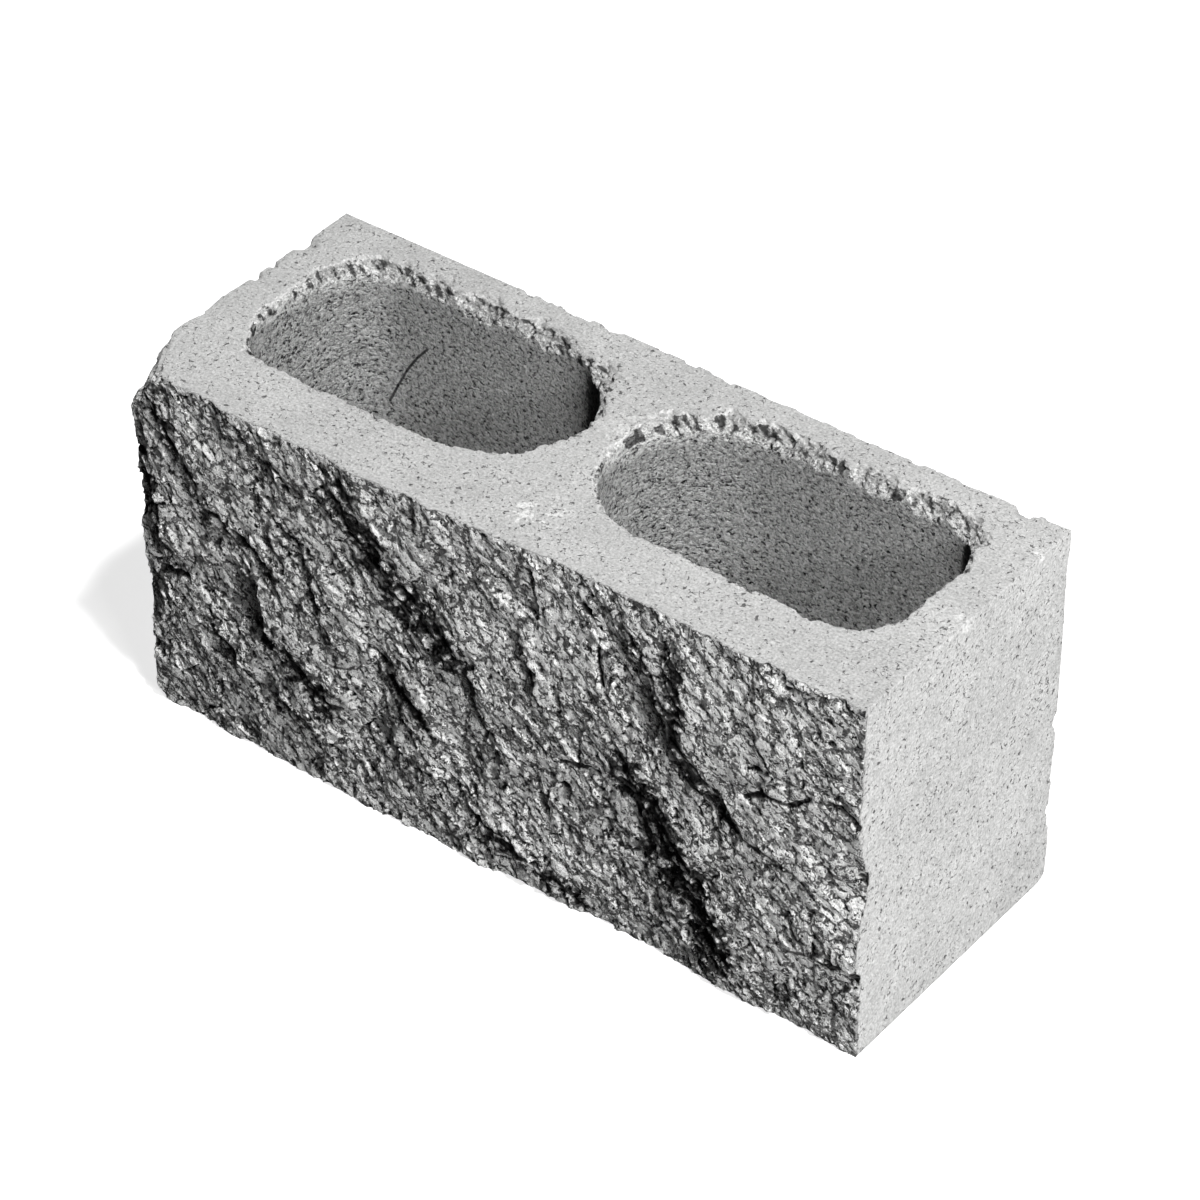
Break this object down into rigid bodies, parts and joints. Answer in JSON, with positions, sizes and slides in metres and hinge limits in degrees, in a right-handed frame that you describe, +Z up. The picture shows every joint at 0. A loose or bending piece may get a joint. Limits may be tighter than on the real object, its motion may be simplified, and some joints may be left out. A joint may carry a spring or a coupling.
{
  "type": "split-face concrete block",
  "caption": "Hollow concrete masonry unit with tapered cores, smooth moulded faces and one rough split face, laid in mortar to build walls.",
  "frame": {"origin": "middle of the bed face, under the centre web, halfway between the plain back and the mean plane of the split face", "axes": "+X along the length towards the squarer-cored right end seen from the split face, +Y from the split face towards the plain back, +Z up from the bed face to the top face"},
  "size_m": [0.397, 0.155, 0.194],
  "materials": {
    "concrete": "matte"
  },
  "bodies": {
    "root": {"block": "concrete"}
  },
  "joints": []
}
